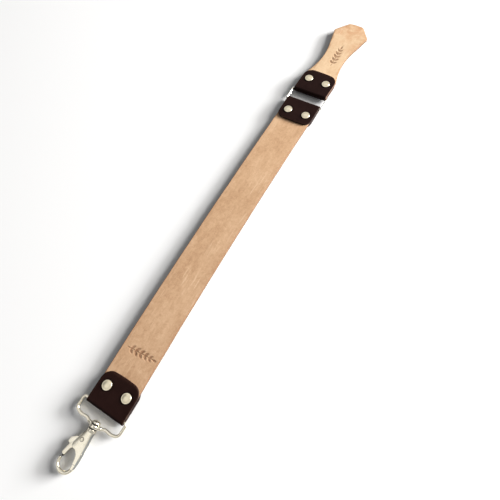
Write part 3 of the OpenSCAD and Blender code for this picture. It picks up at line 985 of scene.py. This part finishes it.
def make_ring():
    low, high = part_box("connecting_ring")
    wire_r = (high.z - low.z) / 2
    half_x = (high.x - low.x) / 2 - wire_r
    half_y = (high.y - low.y) / 2 - wire_r
    bend = mm(2.0)
    centre = (low + high) / 2
    corners = [(half_x, half_y), (-half_x, half_y), (-half_x, -half_y), (half_x, -half_y)]
    path = []
    for i, corner in enumerate(corners):
        path += arc_corner(corners[i - 1], corner, corners[(i + 1) % 4], bend, 8)
    path = [Vector((p.x + centre.x, p.y + centre.y, MID_Z)) for p in path]
    bm = bmesh.new()
    sweep(bm, path, wire_r, closed=True)
    # bead of the butt weld, hidden in the upper fold
    bead = ((-0.9, 0.99), (-0.6, 1.02), (0.0, 1.03), (0.6, 1.02), (0.9, 0.99))
    weld = [Vector((mm(x), centre.y + half_y, MID_Z)) for x, swell in bead]
    sweep(bm, weld, [wire_r * swell for x, swell in bead])
    nodes = ["connecting_ring"]
    finish_piece(bm, "connecting_ring_wire", "ring", nodes, [RING_NICKEL], 60)


# ---- swivel snap hook ----
# Outlines here are in millimetres from the swivel's axis (x) and the loop's bar (y).

EYE_Y = -19.4
EYE_LEN = 4.6
EYE_R = 5.2
BORE_R = 2.6
STUD_R = 2.5
STUD_PLAY = 0.5                                  # gap between the eye and the stud's head or collar
EYE_TOP = EYE_Y + EYE_LEN / 2 + STUD_PLAY
EYE_LOW = EYE_Y - EYE_LEN / 2 - STUD_PLAY


def at_hook(bm):
    """Moves a piece drawn round the swivel's axis and the bar to its place."""
    bmesh.ops.translate(bm, verts=bm.verts[:], vec=(SWIVEL_X, HOOK_BAR_Y, MID_Z))


def add_part(bm, part):
    """Adds a part that was built on its own to a piece."""
    bmesh.ops.recalc_face_normals(part, faces=part.faces[:])
    mesh = bpy.data.meshes.new("part")
    part.to_mesh(mesh)
    part.free()
    bm.from_mesh(mesh)
    bpy.data.meshes.remove(mesh)


def spin_about_y(bm, profile):
    """A solid of revolution about the swivel's axis; profile is (radius, y) in millimetres."""
    part = bmesh.new()
    spin_profile(part, [(mm(radius), mm(height)) for radius, height in profile], 48)
    tipped = Matrix.Rotation(-math.pi / 2, 3, "X")
    bmesh.ops.rotate(part, verts=part.verts[:], cent=(0, 0, 0), matrix=tipped)
    add_part(bm, part)


def make_loop():
    half, bar_r, wire_r = 30.0, mm(1.5), mm(1.72)
    right_half = bent_path([
        (0, 0, 0), (half, 0, 3), (half, -14.8, 6), (21, -17.0, 8), (13, -16.2, 7), (9, -18.0, 5),
        (4.6, -18.9, 0),
    ])
    right = [Vector((mm(p.x), mm(p.y), 0)) for p in right_half]
    left = [Vector((-p.x, p.y, 0)) for p in reversed(right[1:])]
    path = left + right
    ends = 5                                     # points over which the wire swells into the eye
    swell = 0.28
    radii = []
    for i in range(len(path)):
        from_end = min(i, len(path) - 1 - i)
        exposed = smooth_step(-path[i].y, mm(0.5), mm(4))
        round_r = bar_r + (wire_r - bar_r) * exposed
        if from_end < ends:
            round_r = round_r * (1 + swell * (1 - from_end / ends) ** 2)
        radii.append(round_r)
    bm = bmesh.new()
    sweep(bm, path, radii)
    low, high = EYE_Y - EYE_LEN / 2 + 0.25, EYE_Y + EYE_LEN / 2 - 0.25
    barrel = [
        (BORE_R, low + 0.3), (2.9, low), (EYE_R - 0.9, low), (EYE_R - 0.25, low + 0.35),
        (EYE_R, low + 1.0), (EYE_R, high - 1.0), (EYE_R - 0.25, high - 0.35), (EYE_R - 0.9, high),
        (2.9, high), (BORE_R, high - 0.3), (BORE_R, low + 0.3),
    ]
    spin_about_y(bm, barrel)
    # painted shade on the eye's end faces, by the gaps to the stud's head and collar
    for face in bm.faces:
        middle = face.calc_center_median()
        in_eye = middle.xz.length > mm(2.5) and abs(middle.x) < mm(EYE_R)
        if abs(face.normal.y) > 0.4 and in_eye:
            face.material_index = GAP_SHADE
    # cheeks where the wire runs into the eye
    cheek = ((4.4, -19.1, 2.0), (5.2, -18.9, 2.0), (6.2, -18.7, 1.9), (7.2, -18.4, 1.75))
    for way in (-1, 1):
        cheek_path = [Vector((mm(way * x), mm(y), 0)) for x, y, radius in cheek]
        sweep(bm, cheek_path, [mm(radius) for x, y, radius in cheek])
    at_hook(bm)
    finishes = [NICKEL, GAP_SHADE_NICKEL]
    finish_piece(bm, "swivel_loop_wire", "loop", ["swivel_loop"], finishes, 50)


def hook_outline():
    """Cheeks of the hook's body, from the collar down to the start of the bow."""
    return rounded_outline([
        (4.6, -22.6, 0.5), (4.4, -29, 6), (5.4, -38, 8), (6.1, -46, 8), (6.9, -58.5, 0),
        (3.3, -58.5, 0), (1.4, -50.6, 7), (-2.6, -46.9, 4), (-9.5, -46.4, 3.2),
        (-9.3, -40, 6), (-7, -32, 8), (-4.8, -27, 5), (-4.5, -22.6, 0.5),
    ], 8)


def clip(bm, place, normal):
    """Cuts away what lies on the far side of a plane and closes the cut."""
    geometry = bm.verts[:] + bm.edges[:] + bm.faces[:]
    cut = bmesh.ops.bisect_plane(
        bm, geom=geometry, plane_co=place, plane_no=normal, clear_outer=True
    )
    rim = [e for e in cut["geom_cut"] if isinstance(e, bmesh.types.BMEdge)]
    bmesh.ops.holes_fill(bm, edges=rim)


def add_slab(bm, outline, low, high, cuts=()):
    """Adds a slab to a piece; low and high are in millimetres, and cuts are (place, normal)."""
    part = bmesh.new()
    slab(part, outline, mm(low), mm(high))
    for place, normal in cuts:
        clip(part, mm(*place), normal)
    add_part(bm, part)


def melt_together(bm, name, voxel, smooth_rounds):
    """Joins overlapping closed shells into one cast skin with soft inner corners."""
    mesh = bpy.data.meshes.new(name)
    bm.to_mesh(mesh)
    bm.free()
    rough = bpy.data.objects.new(name, mesh)
    bpy.context.scene.collection.objects.link(rough)
    remesh = rough.modifiers.new("skin", "REMESH")
    remesh.mode = "VOXEL"
    remesh.voxel_size = voxel
    soften = rough.modifiers.new("polish", "SMOOTH")
    soften.factor = 0.5
    soften.iterations = smooth_rounds
    view = bpy.context.evaluated_depsgraph_get()
    skin = bpy.data.meshes.new_from_object(rough.evaluated_get(view))
    bpy.data.objects.remove(rough)
    cast = bmesh.new()
    cast.from_mesh(skin)
    bpy.data.meshes.remove(skin)
    return cast


def bow_path():
    """Middle line and radius of the bow, in millimetres: right limb, round seat, nose."""
    centre, radius = Vector((-4.4, -62.0)), 9.4
    path = [
        (Vector((4.9, -51.5)), 1.7), (Vector((5.1, -56.0)), 1.85), (Vector((5.05, -60.0)), 1.95),
    ]
    steps = 28
    for i in range(steps + 1):
        turn = math.radians(4 - 184 * i / steps)
        thick = 2.15 - 0.55 * (i / steps) ** 1.5
        path.append((centre + radius * Vector((math.cos(turn), math.sin(turn))), thick))
    path.append((Vector((-13.7, -60.6)), 1.55))
    return path


def shade_casting(cast):
    """The cut ends get painted shade; the right wall and the left rim a darker nickel, a painted
    dark reflection.
    """
    for face in cast.faces:
        middle = face.calc_center_median() * 1000
        nose_end = face.normal.y > 0.5 and middle.x < -10 and middle.y > -61.6
        collar_top = face.normal.y > 0.5 and middle.y > EYE_LOW - 0.8
        side_wall = abs(face.normal.z) < 0.5 and -63 < middle.y < -26 and middle.x > 3.4
        left_rim = face.normal.x < -0.3 and -50 < middle.y < -27 and middle.x < 0
        if nose_end or collar_top:
            face.material_index = GAP_SHADE
        elif side_wall or left_rim:
            face.material_index = DARK_REFLECTION


def make_hook_body():
    body_t = 7.0
    slot_half = 1.95                             # half width of the lever's slot
    slot_top, slot_side = -31.0, 0.9             # where the slot ends, above and at its right
    overlap = 0.05
    outline = hook_outline()
    bm = bmesh.new()
    # two cheeks, joined along the right side and above the slot
    for way in (-1, 1):
        low, high = sorted((way * (slot_half - overlap), way * body_t / 2))
        add_slab(bm, outline, low, high)
    add_slab(bm, outline, -slot_half, slot_half, [((slot_side, 0, 0), (-1, 0, 0))])
    add_slab(bm, outline, -slot_half, slot_half, [((0, slot_top, 0), (0, -1, 0))])
    bow = bow_path()
    sweep(bm, [Vector((mm(p.x), mm(p.y), 0)) for p, r in bow], [mm(r) for p, r in bow], sides=24)
    limb = rounded_outline([
        (6.75, -47, 0), (6.95, -58, 0), (6.6, -64, 1),
        (3.6, -64.5, 1), (3.1, -56, 0), (2.4, -47, 0),
    ])
    add_slab(bm, limb, -2.7, 2.7)
    # broad foot where the bow's limb grows out of the body
    foot = [(3.6, -45.0, 2.6), (4.3, -49.5, 2.5), (4.9, -53.5, 2.2), (5.1, -57.5, 1.95)]
    sweep(bm, [mm(x, y, 0) for x, y, r in foot], [mm(r) for x, y, r in foot], sides=24)
    collar = [
        (0, EYE_LOW - 3.6), (4.7, EYE_LOW - 3.2), (5.0, EYE_LOW - 1.2), (4.95, EYE_LOW - 0.2),
        (4.6, EYE_LOW), (0, EYE_LOW),
    ]
    spin_about_y(bm, collar)
    cast = melt_together(bm, "hook_casting", mm(0.2), 7)
    # the body's face is domed: it falls away by this share towards both sides
    dome = 0.24
    for vert in cast.verts:
        x, y = vert.co.x * 1000, vert.co.y * 1000
        down = smooth_step(-y, 23, 46)
        middle, half = -1.6 * down, 4.6 + 3.3 * down
        off = max(-1.0, min(1.0, (x - middle) / half))
        vert.co.z *= 1 - dome * off * off * smooth_step(y, -50, -43)
    shade_casting(cast)
    # painted shade: the stud, seen in the gaps beside the eye, is near black
    before = len(cast.faces)
    low, high = EYE_LOW - 1.5, EYE_TOP + 1.0
    spin_about_y(cast, [(0, low), (STUD_R, low), (STUD_R, high), (0, high)])
    cast.faces.ensure_lookup_table()
    for face in cast.faces[before:]:
        face.material_index = GAP_SHADE
    head = [
        (0, EYE_TOP), (4.2, EYE_TOP), (4.6, EYE_TOP + 0.35), (4.6, EYE_TOP + 1.3),
        (4.35, EYE_TOP + 1.9), (3.7, EYE_TOP + 2.5), (2.6, EYE_TOP + 2.95), (1.3, EYE_TOP + 3.2),
        (0, EYE_TOP + 3.27),
    ]
    spin_about_y(cast, head)
    # painted shade under the stud's head, over its gap to the eye
    for face in cast.faces:
        if face.normal.y < -0.4 and face.calc_center_median().y > mm(EYE_TOP - 0.1):
            face.material_index = GAP_SHADE
    at_hook(cast)
    finishes = [NICKEL, GAP_SHADE_NICKEL, DARK_REFLECTION_NICKEL]
    finish_piece(cast, "snap_hook_casting", "hook", ["snap_hook"], finishes, 60)


def make_gate():
    """Flat lever with its thumb tab; its lip below lip_y gets painted shade."""
    lip_y = mm(-57.1)
    lever = rounded_outline([
        (0.3, -33.9, 2.4), (-3.3, -32.0, 2.4), (-6.6, -34.6, 1.5), (-10.6, -36.2, 1.8),
        (-15.2, -40, 2.0), (-15.9, -45, 1.4), (-12.4, -45.2, 1.2), (-15, -55.4, 0.5),
        (-14.6, -56.6, 0.3), (-13.1, -56.8, 0.2), (-13.1, -59, 0.4), (-11.6, -59.2, 0.5),
        (-9.2, -49, 3), (-5.4, -45.6, 1.2), (-5.4, -41, 1.2), (-3.9, -40, 0.8), (-0.1, -38.4, 2.4),
    ], 6)
    bm = bmesh.new()
    slab(bm, lever, -mm(1.7), mm(1.7))
    round_rims(bm, mm(0.45), 3)
    slice_across(bm, 1, [lip_y])
    bmesh.ops.recalc_face_normals(bm, faces=bm.faces[:])
    for face in bm.faces:
        if face.calc_center_median().y < lip_y:
            face.material_index = GAP_SHADE
    at_hook(bm)
    finishes = [NICKEL, GAP_SHADE_NICKEL]
    finish_piece(bm, "gate_lever_casting", "gate", ["gate_lever"], finishes, 50)


def make_gate_pin():
    """Pivot pin, riveted over at both ends with a shallow dimple in each head."""
    low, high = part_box("gate_pin")
    half = (high.z - low.z) / 2
    cheek_z = half - mm(0.4)                     # outer face of the hook's cheek
    head_r = (high.x - low.x) / 2
    shaft_r = mm(1.5)
    profile = []
    for way in (-1, 1):
        end = [
            (0.0, way * (half - mm(0.22))), (mm(0.7), way * (half - mm(0.18))),
            (mm(1.15), way * half), (head_r - mm(0.8), way * half),
            (head_r - mm(0.45), way * (half - mm(0.12))),
            (head_r - mm(0.4), way * (cheek_z + mm(0.06))), (head_r, way * (cheek_z + mm(0.06))),
            (head_r, way * (cheek_z - mm(0.3))), (shaft_r, way * (cheek_z - mm(0.3))),
        ]
        profile += end if way < 0 else end[::-1]
    bm = bmesh.new()
    spin_profile(bm, profile, 40)
    # painted shade on the rim and wall of each head, where it meets the cheek
    for face in bm.faces:
        if face.calc_center_median().xy.length > head_r - mm(0.5):
            face.material_index = GAP_SHADE
    bmesh.ops.translate(bm, verts=bm.verts[:], vec=(PIVOT.x, PIVOT.y, MID_Z))
    finishes = [NICKEL, GAP_SHADE_NICKEL]
    finish_piece(bm, "gate_pin_metal", "hook", ["gate_pin"], finishes, 50)


def finish_spring():
    """The coil spring keeps its own shape, because it is squeezed as the gate opens."""
    spring = frame["nodes"]["gate_spring"]
    spring.data.materials.clear()
    spring.data.materials.append(SPRING_WIRE)


make_camera()
make_studio()
make_floor()
make_strap()
make_handle()
END_PIECES = (
    # name, its bar, the way it lies from the bar, corner radius in millimetres, length, turn in the
    # plane, body, finish of its cut edge
    ("hook", HOOK_BAR_Y, 1, 12, mm(38.0), 0.0, "strap", DARK_EDGE),
    ("ring", LOW_BAR_Y, -1, 9, mm(37.6), 0.0, "strap", DARK_EDGE),
    ("handle", UP_BAR_Y, 1, 12, mm(39.6), HANDLE_SKEW, "handle", WORN_EDGE),
)
for end, bar_y, away, corner_radius, length, skew, body, edge in END_PIECES:
    make_chape(end + "_chape", bar_y, away, corner_radius, length, skew, body, edge)
for rivet_side in ("left", "right"):
    for end, bar_y, away, corner_radius, length, skew, body, edge in END_PIECES:
        make_rivet(end, bar_y, away, rivet_side, skew, body)
make_ring()
make_loop()
make_hook_body()
make_gate()
make_gate_pin()
finish_spring()
